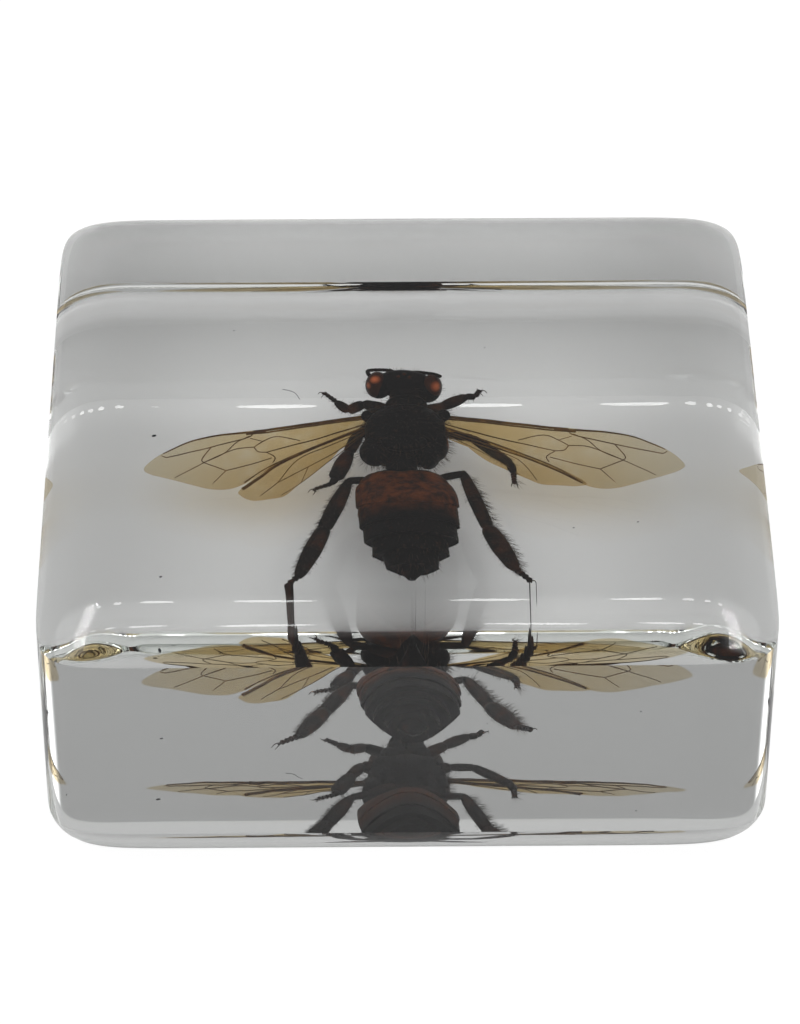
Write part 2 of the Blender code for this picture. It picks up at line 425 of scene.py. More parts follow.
def station(centre: Sequence[float], along: Sequence[float], wide: float, high: float) -> Matrix:
    """The place of one ring of a swept shape.

    Args:
        centre: the ring's centre.
        along: the direction that the ring faces.
        wide: its radius across.
        high: its radius upwards.

    Returns:
        The transform from a unit circle to the ring.
    """
    facing = Vector(along).normalized()
    across = UP.cross(facing)
    if across.length < 1e-5:
        across = Vector((1.0, 0.0, 0.0))
    across.normalize()
    turn = Matrix((across, facing.cross(across), facing)).transposed().to_4x4()
    return Matrix.Translation(centre) @ turn @ Matrix.Diagonal((wide, high, 1.0, 1.0))


def extend(shape: Shape, edges: list[Edge], steps: Iterable[Matrix]) -> list[Edge]:
    """Draw a loop of edges out through a chain of transforms, each on from the last.

    Args:
        shape: the mesh that holds the loop.
        edges: the loop.
        steps: the transforms.

    Returns:
        The last loop.
    """
    for step in steps:
        made = bmesh.ops.extrude_edge_only(shape, edges=edges)["geom"]
        edges = [part for part in made if isinstance(part, Edge)]
        verts = [part for part in made if isinstance(part, Vert)]
        bmesh.ops.transform(shape, matrix=step, verts=verts)
    return edges


def sweep(shape: Shape, stations: Sequence[Matrix], sides: int) -> None:
    """Add a closed tube through the stations.

    Args:
        shape: the mesh that it is added to.
        stations: the place of each ring, from end to end.
        sides: how many sides the tube has.
    """
    ring = bmesh.ops.create_circle(shape, cap_ends=True, segments=sides, radius=1.0, matrix=stations[0])
    edges = list({edge for vert in ring["verts"] for edge in vert.link_edges})
    steps = [after @ before.inverted() for before, after in zip(stations, stations[1:])]
    bmesh.ops.contextual_create(shape, geom=extend(shape, edges, steps))


def ball(shape: Shape, centre: Point, radii: Point, turn_deg: float = 0.0, segments: int = 24) -> None:
    """Add an ellipsoid, turned about Z.

    Args:
        shape: the mesh that it is added to.
        centre: its centre.
        radii: its radii along X, Y and Z, before the turn.
        turn_deg: the turn about Z.
        segments: how many sides it has round its equator.
    """
    place = Matrix.Translation(centre) @ Matrix.Rotation(math.radians(turn_deg), 4, "Z")
    place = place @ Matrix.Diagonal((*radii, 1.0))
    bmesh.ops.create_uvsphere(shape, u_segments=segments, v_segments=segments // 2, radius=1.0, matrix=place)


def smooth_path(points: Sequence[Sequence[float]], steps: int, closed: bool = False) -> list[Vector]:
    """Points along a smooth curve through the given ones (Catmull-Rom).

    Args:
        points: the points that it passes.
        steps: how many short runs between each two of them.
        closed: True if it comes back to its start.

    Returns:
        The curve's points.
    """
    given = [Vector(point) for point in points]
    chain = [given[-1], *given, *given[:2]] if closed else [given[0], *given, given[-1]]
    path = []
    for a, b, c, d in zip(chain, chain[1:], chain[2:], chain[3:]):
        for t in (j / steps for j in range(steps)):
            path.append(0.5 * (2 * b + (c - a) * t + (2 * a - 5 * b + 4 * c - d) * t ** 2
                               + (3 * b - a - 3 * c + d) * t ** 3))
    return path if closed else [*path, given[-1]]


def tube(shape: Shape, path: Sequence[Vector], radii: Sequence[float], sides: int) -> None:
    """Add a tube along a path, with a radius at each point.

    Args:
        shape: the mesh that it is added to.
        path: the tube's middle line.
        radii: the radius at each of its points.
        sides: how many sides the tube has.
    """
    stations = []
    for i, (centre, radius) in enumerate(zip(path, radii)):
        along = path[min(i + 1, len(path) - 1)] - path[max(i - 1, 0)]
        stations.append(station(centre, along, radius, radius))
    sweep(shape, stations, sides)


def tapered(start: float, end: float, count: int) -> list[float]:
    """Radii that run evenly from start to end."""
    return [start + (end - start) * i / (count - 1) for i in range(count)]


def cord(shape: Shape, points: Sequence[Sequence[float]], steps: int, girth: Pair, sides: int) -> None:
    """Add a tube along a smooth curve, with the radii at its two ends."""
    path = smooth_path(points, steps)
    tube(shape, path, tapered(*girth, len(path)), sides)


def to_mesh(shape: Shape, name: str) -> bpy.types.Mesh:
    """A shape as mesh data. The shape is used up.

    Args:
        shape: the shape.
        name: the mesh's name.

    Returns:
        The mesh.
    """
    mesh = bpy.data.meshes.new(name)
    shape.to_mesh(mesh)
    shape.free()
    return mesh


def linked(name: str, data: bpy.types.ID) -> bpy.types.Object:
    """A new object in the scene.

    Args:
        name: the object's name.
        data: what it shows.

    Returns:
        The object.
    """
    thing = bpy.data.objects.new(name, data)
    bpy.context.scene.collection.objects.link(thing)
    return thing


def settle(shape: Shape, name: str, material: bpy.types.Material) -> bpy.types.Object:
    """A shape in millimetres as an object in the scene. The shape is used up.

    Args:
        shape: the shape.
        name: the object's name.
        material: its material.

    Returns:
        The object.
    """
    bmesh.ops.scale(shape, vec=(MM, MM, MM), verts=shape.verts)
    thing = linked(name, to_mesh(shape, name))
    thing.data.materials.append(material)
    return thing


def fuse(shape: Shape, voxel: float, smoothing: int = 4) -> Shape:
    """Melt overlapping masses into one skin.

    Args:
        shape: the masses, which are used up.
        voxel: the grain of the new skin.
        smoothing: how many rounds soften it.

    Returns:
        The skin.
    """
    mesh = to_mesh(shape, "melting")
    carrier = linked("melting", mesh)
    melt = carrier.modifiers.new("melt", "REMESH")
    melt.mode = "VOXEL"
    melt.voxel_size = voxel
    carrier.modifiers.new("soften", "SMOOTH").iterations = smoothing
    skin = bpy.data.meshes.new_from_object(carrier.evaluated_get(bpy.context.evaluated_depsgraph_get()))
    fused = bmesh.new()
    fused.from_mesh(skin)
    bpy.data.objects.remove(carrier)
    bpy.data.meshes.remove(mesh)
    bpy.data.meshes.remove(skin)
    return fused


def publish(shape: Shape, name: str, material: bpy.types.Material, nodes: Sequence[str] = (),
            sharp_deg: float = 40.0) -> None:
    """Turn a shape into a finished piece of the object.

    Args:
        shape: the shape in millimetres, which is used up.
        name: the piece's name.
        material: its finish.
        nodes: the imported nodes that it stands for.
        sharp_deg: edges that turn by more than this stay sharp.
    """
    bmesh.ops.recalc_face_normals(shape, faces=shape.faces)
    piece = settle(shape, name, material)
    piece.data.shade_smooth()
    piece.data.set_sharp_from_angle(angle=math.radians(sharp_deg))
    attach(piece, "root")
    if nodes:
        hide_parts(*nodes)
    LOG.info("%s: %d faces", name, len(piece.data.polygons))


# ---------------------------------------------------------------- resin block

@dataclass
class ResinBlock:
    """The cast block: bowed sides, soft corners, an elliptical top edge and a crisp rounding at the foot."""

    exponent: float = 16.0
    top_width: float = 5.0
    top_drop: float = 3.4
    top_from_deg: float = 26.3
    foot_round: float = 5.15
    foot_from_deg: float = 12.0
    foot_to_deg: float = 52.5
    ring_points: int = 384
    round_steps: int = 18
    top_steps: int = 40
    margin: float = 0.25
    crisp_deg: float = 9.0
    finish: ResinFinish = ResinFinish()

    def plan_point(self, angle: float, half_x: float, half_y: float) -> Pair:
        """The point of the plan outline that a circle's point at this angle goes to.

        Args:
            angle: where the point stands on the circle.
            half_x: half the block along X.
            half_y: half the block along Y.

        Returns:
            The point's X and Y.
        """
        eighth = math.pi / 4
        turn = math.atan2(abs(math.sin(angle)), abs(math.cos(angle)))
        share = min(turn, 2 * eighth - turn) / eighth
        lean = math.tan(eighth * share ** 4) ** (1 / (self.exponent - 1))
        reach = (1 + lean ** self.exponent) ** (-1 / self.exponent)
        long, short = reach, reach * lean
        x, y = (long, short) if turn < eighth else (short, long)
        return math.copysign(half_x * x, math.cos(angle)), math.copysign(half_y * y, math.sin(angle))

    def profile(self, height: float) -> list[Pair]:
        """(inset, height) from the middle of the underside's rim up to the rim of the flat top.

        Args:
            height: the block's height.

        Returns:
            The points, from below upwards.
        """
        first, last = math.radians(self.foot_from_deg), math.radians(self.foot_to_deg)
        rim = self.foot_round * (math.cos(first) - math.cos(last))
        points = [(rim + self.margin, 0.0)]
        for i in range(self.round_steps + 1):
            tilt = last + (first - last) * i / self.round_steps
            points.append((self.foot_round * (math.cos(first) - math.cos(tilt)),
                           self.foot_round * (math.sin(last) - math.sin(tilt))))
        crest = math.radians(self.top_from_deg)
        points.append((0.0, height - self.top_drop * (1 - math.sin(crest)) - self.margin))
        for i in range(self.top_steps + 1):
            turn = crest + (math.pi / 2 - crest) * i / self.top_steps
            points.append((self.top_width * (math.cos(crest) - math.cos(turn)),
                           height - self.top_drop * (1 - math.sin(turn))))
        points.append((points[-1][0] + self.margin, height))
        return points

    def build(self) -> None:
        """Loft the outline up the profile, and close it above and below."""
        low, high = CAD_BOX
        half_x, half_y, height = (high.x - low.x) / 2 / MM, (high.y - low.y) / 2 / MM, (high.z - low.z) / MM
        shape = bmesh.new()
        ring = bmesh.ops.create_circle(shape, cap_ends=True, segments=self.ring_points, radius=1.0)["verts"]
        for vert in ring:
            vert.co.xy = self.plan_point(math.atan2(vert.co.y, vert.co.x), half_x, half_y)
        places = []
        for inset, lift in self.profile(height):
            shrink = Matrix.Diagonal((1 - inset / half_x, 1 - inset / half_y, 1.0, 1.0))
            places.append(Matrix.Translation((0.0, 0.0, lift)) @ shrink)
        bmesh.ops.transform(shape, matrix=places[0], verts=ring)
        edges = list({edge for vert in ring for edge in vert.link_edges})
        steps = [after @ before.inverted() for before, after in zip(places, places[1:])]
        bmesh.ops.contextual_create(shape, geom=extend(shape, edges, steps))
        publish(shape, "resin_block", self.finish.material(), ("resin_lower", "resin_upper"),
                self.crisp_deg)


# ---------------------------------------------------------------- bee: head and thorax

@dataclass
class Head:
    """The head with its face, jaws and tongue, the eyes on its sides and the feelers laid along its front."""

    centre: Point = (0.1, 8.5, 5.6)
    turn_deg: float = -5.0
    eye_offset: Point = (1.58, -0.22, 0.12)
    eye_radii: Point = (0.66, 0.98, 1.15)
    voxel: float = 0.07
    masses: tuple[tuple[Point, Point], ...] = (
        ((0.0, 0.05, 0.0), (1.75, 0.98, 1.4)),
        ((0.0, 0.5, -0.55), (1.1, 0.6, 1.0)),
        ((0.0, 0.4, 0.3), (1.4, 0.58, 0.75)),
        ((0.0, -0.2, 0.7), (1.1, 0.62, 0.68)),
        ((1.45, -0.38, 0.0), (0.74, 0.95, 1.1)),
        ((-1.42, -0.3, 0.0), (0.74, 0.9, 1.1)),
        ((0.0, 0.45, -0.95), (1.2, 0.6, 0.75)),
    )
    crown_eyes: tuple[Point, ...] = ((0.0, 0.15, 1.38), (-0.32, -0.12, 1.4), (0.32, -0.12, 1.4))
    crown_eye_radii: Point = (0.13, 0.13, 0.1)
    feelers: tuple[tuple[Point, ...], ...] = (
        ((-0.25, 9.13, 6.0), (-0.7, 9.44, 6.1), (-1.3, 9.5, 6.15), (-1.93, 9.42, 6.2), (-2.0, 9.16, 6.3),
         (-1.9, 8.84, 6.4)),
        ((0.35, 9.0, 6.1), (0.75, 9.24, 6.2), (1.3, 9.12, 6.3), (1.9, 8.9, 6.45), (2.2, 8.56, 6.7)),
    )
    scape_girth: Pair = (0.13, 0.16)
    bead_radii: tuple[float, float, float] = (0.12, 0.135, 0.125)
    jaws: tuple[tuple[Point, ...], ...] = (
        ((-0.75, 9.19, 4.5), (-0.6, 9.62, 4.15), (-0.1, 9.81, 3.95)),
        ((0.95, 9.09, 4.5), (0.85, 9.52, 4.15), (0.3, 9.76, 3.95)),
    )
    jaw_girth: Pair = (0.26, 0.12)
    tongue: tuple[Point, ...] = ((0.15, 9.47, 4.2), (0.12, 9.09, 3.85), (0.1, 8.33, 3.75), (0.1, 7.47, 3.85))
    tongue_girth: Pair = (0.3, 0.12)
    neck_from: Point = (0.1, -0.5, -0.1)
    neck_to: Point = (0.22, 6.9, 5.3)
    neck_girth: Pair = (0.9, 1.05)

    def about(self, offset: Sequence[float]) -> Vector:
        """A place given from the head's centre, before the head is turned."""
        return Vector(self.centre) + Matrix.Rotation(math.radians(self.turn_deg), 3, "Z") @ Vector(offset)

    def skull(self) -> Shape:
        """The skull, face, crown and hind rim as one skin.

        Returns:
            The skin.
        """
        shape = bmesh.new()
        for offset, radii in self.masses:
            ball(shape, self.about(offset), radii, self.turn_deg)
        for jaw in self.jaws:
            cord(shape, jaw, 4, self.jaw_girth, 12)
        cord(shape, self.tongue, 5, self.tongue_girth, 12)
        tube(shape, (self.about(self.neck_from), Vector(self.neck_to)), self.neck_girth, 16)
        return fuse(shape, self.voxel)

    def eyes(self) -> Shape:
        """The two big side eyes and the three small ones on the crown.

        Returns:
            The eyes.
        """
        shape = bmesh.new()
        x, y, z = self.eye_offset
        for side in Side:
            ball(shape, self.about((side.value * x, y, z)), self.eye_radii, self.turn_deg, 32)
        for offset in self.crown_eyes:
            ball(shape, self.about(offset), self.crown_eye_radii, 0.0, 12)
        return shape

    def feeler_shape(self) -> Shape:
        """Both feelers: a long first joint and then a string of short ones.

        Returns:
            The feelers.
        """
        shape = bmesh.new()
        for points in self.feelers:
            path = smooth_path(points, 6)
            first = len(path) // 4
            tube(shape, path[:first + 1], tapered(*self.scape_girth, first + 1), 10)
            for i in range(first, len(path) - 2, 2):
                tube(shape, path[i:i + 3], self.bead_radii, 10)
        return shape


@dataclass
class Thorax:
    """The barrel that carries wings and legs: back shield, flanks, collar, rear shield and waist."""

    voxel: float = 0.08
    masses: tuple[tuple[Point, Point], ...] = (
        ((0.12, 4.6, 5.45), (2.36, 2.0, 2.05)),
        ((0.12, 4.2, 4.75), (2.35, 2.35, 1.75)),
        ((0.2, 6.75, 5.25), (1.25, 0.85, 1.3)),
        ((0.05, 2.86, 6.55), (1.35, 0.67, 0.62)),
        ((-1.62, 2.82, 5.2), (0.92, 1.02, 1.3)),
        ((1.42, 2.5, 5.1), (0.68, 0.95, 1.2)),
        ((1.9, 3.35, 5.2), (0.72, 1.2, 1.2)),
        ((-0.13, 1.75, 5.0), (0.92, 1.25, 1.1)),
        ((-0.1, 3.0, 5.2), (1.2, 0.8, 1.4)),
        ((-2.05, 5.7, 5.65), (0.38, 0.5, 0.34)),
        ((2.35, 5.71, 5.65), (0.4, 0.52, 0.34)),
        ((-1.6, 6.35, 4.9), (0.46, 0.4, 0.46)),
        ((2.0, 6.15, 4.9), (0.48, 0.42, 0.48)),
        ((-0.9, 6.7, 4.2), (0.6, 0.6, 0.8)),
        ((1.0, 6.6, 4.1), (0.6, 0.6, 0.8)),
        ((-1.2, 4.71, 3.9), (0.7, 0.76, 0.75)),
        ((1.3, 4.62, 3.9), (0.7, 0.76, 0.75)),
        ((-1.0, 3.1, 4.0), (0.65, 0.76, 0.7)),
        ((1.0, 3.0, 4.0), (0.65, 0.76, 0.7)),
    )

    def build(self) -> Shape:
        """All masses as one skin, with the groove between the back shield and the rear shield kept.

        Returns:
            The skin.
        """
        shape = bmesh.new()
        for centre, radii in self.masses:
            ball(shape, centre, radii)
        return fuse(shape, self.voxel)


# ---------------------------------------------------------------- bee: abdomen

@dataclass(frozen=True)
class Plate:
    """One ring plate of the abdomen: (y, left edge, right edge) from its front to its back."""

    outline: tuple[Point, ...]
    lip: float


@dataclass
class Abdomen:
    """Seven overlapping ring plates from the waist to the pointed tail, whose ragged hind edges stand out."""

    height: float = 4.9
    back_share: float = 0.88
    belly_share: float = 0.78
    belly_edge: float = 0.5
    back_edge: float = 0.1
    sides: int = 56
    inturn: float = 0.01
    ragged_band: float = 0.05
    raggedness: float = 0.07
    rags_per_mm: float = 3.1
    dents: float = 0.06
    dents_per_mm: float = 0.8
    front_y: float = 1.2
    front_rise: float = 0.45
    rise_per_mm: float = 0.25
    slant: Pair = (0.12, 0.45)
    slant_over_y: Pair = (-4.0, 0.0)
    slant_at_front: float = 0.3
    plates: tuple[Plate, ...] = (
        Plate(((1.2, -1.2, 1.1), (1.14, -1.8, 1.7), (1.0, -2.12, 2.05), (0.6, -2.42, 2.36),
               (0.25, -2.6, 2.58)), 0.12),
        Plate(((0.4, -2.42, 2.4), (0.0, -2.72, 2.74), (-0.8, -2.78, 3.02), (-1.75, -2.74, 3.12)), 0.10),
        Plate(((-1.55, -2.6, 2.98), (-2.2, -2.64, 3.04), (-2.9, -2.58, 3.08), (-3.5, -2.54, 3.1)), 0.12),
        Plate(((-3.3, -2.38, 2.92), (-4.0, -2.34, 2.97), (-4.7, -2.29, 3.02)), 0.16),
        Plate(((-4.45, -1.84, 2.42), (-5.1, -1.85, 2.44), (-5.8, -1.84, 2.5)), 0.18),
        Plate(((-5.6, -1.35, 1.9), (-6.2, -1.2, 1.88), (-6.85, -1.05, 1.86)), 0.20),
        Plate(((-6.65, -0.6, 1.3), (-7.0, -0.42, 1.12), (-7.3, -0.2, 0.9), (-7.55, 0.02, 0.68),
               (-7.7, 0.14, 0.56)), 0.05),
    )

    def ring(self, y: float, left: float, right: float) -> Matrix:
        """The place of one cross-section, which is lower at the front.

        Args:
            y: where it stands.
            left: its left edge.
            right: its right edge.

        Returns:
            The transform from a unit circle to the ring.
        """
        half = (right - left) / 2
        rise = min(self.front_rise + self.rise_per_mm * (self.front_y - y), 1.0) * self.back_share
        return station(((left + right) / 2, y, self.height), (0.0, -1.0, 0.0), half, half * rise)

    def build(self) -> Shape:
        """Every plate as a closed shell whose hind edge turns inwards.

        Returns:
            The abdomen.
        """
        shape = bmesh.new()
        for plate in self.plates:
            smooth = smooth_path(plate.outline, 4)
            rings = [self.ring(*point) for point in smooth]
            y, left, right = plate.outline[-1]
            rings.append(self.ring(y + self.inturn, left + plate.lip, right - plate.lip))
            known = len(shape.verts)
            sweep(shape, rings, self.sides)
            shape.verts.ensure_lookup_table()
            self.sharpen(shape.verts[known:])
            for vert in shape.verts[known:]:
                self.weather(vert, y)
        return shape

    def sharpen(self, shell: Sequence[Vert]) -> None:
        """Thin a plate's sides, most of all below, so that back and belly meet in a sharp edge.

        Args:
            shell: the plate's vertices.
        """
        spans: dict[float, list[float]] = {}
        for vert in shell:
            spans.setdefault(round(vert.co.y, 4), []).append(vert.co.x)
        for vert in shell:
            span = spans[round(vert.co.y, 4)]
            low, high = min(span), max(span)
            inward = max(1.0 - ((2.0 * vert.co.x - low - high) / (high - low)) ** 2, 0.0)
            power = self.belly_edge if vert.co.z < self.height else self.back_edge
            vert.co.z = self.height + (vert.co.z - self.height) * inward ** power

    def weather(self, vert: Vert, edge_y: float) -> None:
        """Flatten the belly, slant the back's edges, dent the shell a little and fray the plate's hind edge.

        Args:
            vert: a vertex of a plate.
            edge_y: where the plate's hind edge stands.
        """
        if abs(vert.co.y - edge_y) < self.ragged_band:
            vert.co.y += self.raggedness * noise.noise(vert.co * self.rags_per_mm)
        if vert.co.z < self.height:
            vert.co.z = self.height + (vert.co.z - self.height) * self.belly_share / self.back_share
        else:
            low, high = self.slant_over_y
            forward = min(max((vert.co.y - low) / (high - low), 0.0), 1.0)
            slant = self.slant[0] + (self.slant[1] - self.slant[0]) * forward
            fade = min(self.front_y - vert.co.y + self.slant_at_front, 1.0)
            vert.co.y -= slant * (vert.co.z - self.height) * fade
        vert.co.z += self.dents * noise.noise(vert.co * self.dents_per_mm)


# ---------------------------------------------------------------- bee: wings

@dataclass(frozen=True)
class Vein:
    """A wing vein: plan points from its root outwards, with the radius at both ends."""

    path: tuple[Pair, ...]
    start: float = 0.034
    end: float = 0.03


@dataclass(frozen=True)
class WingPlan:
    """A wing's outline and veins, in plan."""

    outline: tuple[Pair, ...]
    veins: tuple[Vein, ...]


FOREWING = WingPlan(
    outline=((1.9, 5.81), (5.0, 5.4), (7.9, 4.96), (9.8, 4.73), (11.5, 4.52), (13.3, 4.1), (15.1, 3.14),
             (16.0, 2.38), (16.3, 1.86), (15.9, 1.5), (15.2, 1.25), (13.3, 0.59), (12.2, 0.24), (11.1, 0.22),
             (10.05, 0.63), (8.4, 1.81), (5.2, 3.48), (1.9, 5.0)),
    veins=(
        Vein(((1.9, 5.79), (5.0, 5.36), (7.9, 4.9), (9.5, 4.69)), 0.11, 0.085),
        Vein(((2.0, 5.59), (5.0, 5.19), (7.8, 4.73), (9.2, 4.54)), 0.075, 0.06),
        Vein(((8.7, 4.71), (9.3, 4.6), (9.95, 4.54)), 0.09, 0.14),
        Vein(((9.9, 4.62), (11.5, 4.47), (13.3, 4.05), (15.1, 3.1)), 0.08, 0.04),
        Vein(((9.6, 4.52), (9.85, 4.24), (12.13, 3.53), (14.6, 2.86), (14.95, 2.81), (15.2, 2.95)),
             0.045, 0.03),
        Vein(((12.13, 3.53), (12.7, 2.62), (12.59, 2.32)), 0.035, 0.032),
        Vein(((9.75, 4.33), (10.53, 3.89), (11.36, 3.01), (12.59, 2.32)), 0.035, 0.03),
        Vein(((12.59, 2.32), (14.4, 1.18)), 0.032, 0.024),
        Vein(((12.59, 2.32), (11.24, 1.66)), 0.034, 0.034),
        Vein(((11.24, 1.66), (12.05, 0.68)), 0.032, 0.022),
        Vein(((11.24, 1.66), (9.9, 2.05), (8.4, 2.57)), 0.034, 0.034),
        Vein(((6.61, 3.89), (8.06, 4.26), (8.92, 3.87), (9.48, 3.45)), 0.034, 0.034),
        Vein(((8.92, 3.87), (9.7, 4.16)), 0.03, 0.03),
        Vein(((9.48, 3.45), (10.74, 3.31), (12.59, 2.32)), 0.034, 0.034),
        Vein(((9.48, 3.45), (9.23, 3.1), (8.71, 3.04)), 0.034, 0.034),
        Vein(((8.71, 3.04), (7.3, 3.48), (5.91, 3.89), (4.2, 4.48), (2.1, 5.24)), 0.036, 0.055),
        Vein(((8.71, 3.04), (8.2, 2.62), (8.33, 2.21)), 0.034, 0.034),
        Vein(((2.1, 5.02), (5.2, 3.62), (8.3, 2.05), (9.4, 1.29)), 0.075, 0.035),
        Vein(((9.4, 1.29), (10.1, 0.7)), 0.035, 0.06),
    ),
)
LEFT_HINDWING = WingPlan(
    outline=((-1.9, 5.09), (-4.6, 3.81), (-7.2, 2.38), (-9.25, 0.48), (-9.3, -0.05), (-8.6, -0.43),
             (-7.6, -0.33), (-6.8, -0.14), (-6.0, 0.67), (-5.2, 1.48), (-4.3, 2.33), (-3.2, 3.76),
             (-1.9, 4.52)),
    veins=(
        Vein(((-1.9, 4.95), (-4.6, 3.67), (-7.1, 2.26), (-8.2, 1.29), (-9.2, 0.43)), 0.06, 0.12),
        Vein(((-2.0, 4.76), (-4.2, 3.57), (-6.03, 2.57), (-7.22, 0.86), (-8.18, -0.09)), 0.04, 0.025),
        Vein(((-2.1, 4.62), (-3.9, 3.05), (-5.45, 2.0), (-7.22, 0.86)), 0.034, 0.028),
        Vein(((-5.45, 2.0), (-5.85, 0.81)), 0.028, 0.022),
        Vein(((-2.1, 4.52), (-3.5, 3.1), (-4.6, 2.05), (-5.85, 0.81), (-7.0, -0.09)), 0.03, 0.024),
    ),
)
RIGHT_HINDWING = WingPlan(
    outline=((1.9, 5.09), (5.2, 3.62), (8.2, 2.19), (10.35, 0.76), (9.9, 0.43), (8.9, 0.51), (7.8, 0.62),
             (6.9, 1.1), (6.0, 1.62), (4.9, 2.29), (4.0, 3.1), (3.3, 3.86), (1.9, 4.43)),
    veins=(
        Vein(((1.9, 4.9), (5.2, 3.43), (8.1, 2.0), (10.2, 0.67)), 0.06, 0.07),
        Vein(((2.1, 4.67), (4.4, 3.57), (6.56, 2.46), (7.6, 0.88)), 0.036, 0.024),
        Vein(((2.2, 4.52), (4.0, 3.38), (5.4, 2.38), (6.6, 1.33)), 0.03, 0.022),
    ),
)


@dataclass
class Wings:
    """Two forewings from one plan, laid out to each side, over two hindwings of their own plans."""

    root_height: float = 4.4
    level_at_y: float = 1.4
    pitch: float = 0.25
    left_droop: float = 0.045
    droop_from_x: float = 6.0
    hind_drop: float = 0.1
    film: float = 0.03
    grid: float = 0.55
    grid_reach: Pair = (17.0, 6.0)
    wave: float = 0.05
    waves_per_mm: Pair = (0.9, 1.4)
    wave_change: float = 7.0
    left_length: float = 0.928
    left_chord: float = 0.96
    left_lean: float = 0.0243
    left_shift: Pair = (0.31, 0.203)
    right_kept_to: float = 14.6
    right_tip_share: float = 0.87
    curve_steps: int = 5

    def height(self, x: float, y: float, drop: float) -> float:
        """The height of a wing over one point of its plan.

        Args:
            x: the X of the point.
            y: the Y of the point.
            drop: how far the wing lies below the forewings.

        Returns:
            The height.
        """
        droop = self.left_droop * (x + self.droop_from_x) if x < 0 else 0.0
        along, across = self.waves_per_mm
        ripple = self.wave * noise.noise(Vector((x * along, y * across, drop * self.wave_change)))
        return self.root_height - drop + self.pitch * (y - self.level_at_y) + droop + ripple

    def on_left(self, point: Sequence[float]) -> Pair:
        """A forewing plan point on the left side, where the wing lies a little foreshortened."""
        (x, y), (aside, ahead) = point, self.left_shift
        return aside - self.left_length * x - self.left_lean * y, self.left_chord * y + ahead

    def on_right(self, point: Sequence[float]) -> Pair:
        """A forewing plan point on the right side, where the tip is a little shorter."""
        x, y = point
        return min(x, self.right_kept_to) + max(x - self.right_kept_to, 0.0) * self.right_tip_share, y

    def laid(self) -> list[tuple[WingPlan, float, Callable[[Sequence[float]], Sequence[float]]]]:
        """Each wing's plan, its drop and how its plan points are placed."""
        return [(FOREWING, 0.0, self.on_left), (FOREWING, 0.0, self.on_right),
                (LEFT_HINDWING, self.hind_drop, tuple), (RIGHT_HINDWING, self.hind_drop, tuple)]

    def membranes(self) -> Shape:
        """Every wing's film, cut into a fine grid, lifted to its height and given its thickness.

        Returns:
            The films.
        """
        every = bmesh.new()
        for plan, drop, place in self.laid():
            film = bmesh.new()
            curve = smooth_path([place(point) for point in plan.outline], self.curve_steps, closed=True)
            corners = [film.verts.new((point.x, point.y, 0.0)) for point in curve]
            bmesh.ops.contextual_create(film, geom=corners)
            for axis, far in zip((Vector((1, 0, 0)), Vector((0, 1, 0))), self.grid_reach):
                for i in range(int(-far / self.grid), int(far / self.grid) + 1):
                    bmesh.ops.bisect_plane(film, geom=[*film.verts, *film.edges, *film.faces], dist=1e-4,
                                           plane_co=axis * i * self.grid, plane_no=axis)
            for vert in film.verts:
                vert.co.z = self.height(vert.co.x, vert.co.y, drop)
            bmesh.ops.recalc_face_normals(film, faces=film.faces)
            bmesh.ops.solidify(film, geom=list(film.faces), thickness=self.film)
            mesh = to_mesh(film, "film")
            every.from_mesh(mesh)
            bpy.data.meshes.remove(mesh)
        return every

    def veins(self) -> Shape:
        """Every wing's veins as fine tubes that follow the film.

        Returns:
            The veins.
        """
        every = bmesh.new()
        for plan, drop, place in self.laid():
            for vein in plan.veins:
                flat = smooth_path([place(point) for point in vein.path], self.curve_steps)
                path = [Vector((point.x, point.y, self.height(point.x, point.y, drop))) for point in flat]
                tube(every, path, tapered(vein.start, vein.end, len(path)), 8)
        return every


# ---------------------------------------------------------------- bee: legs

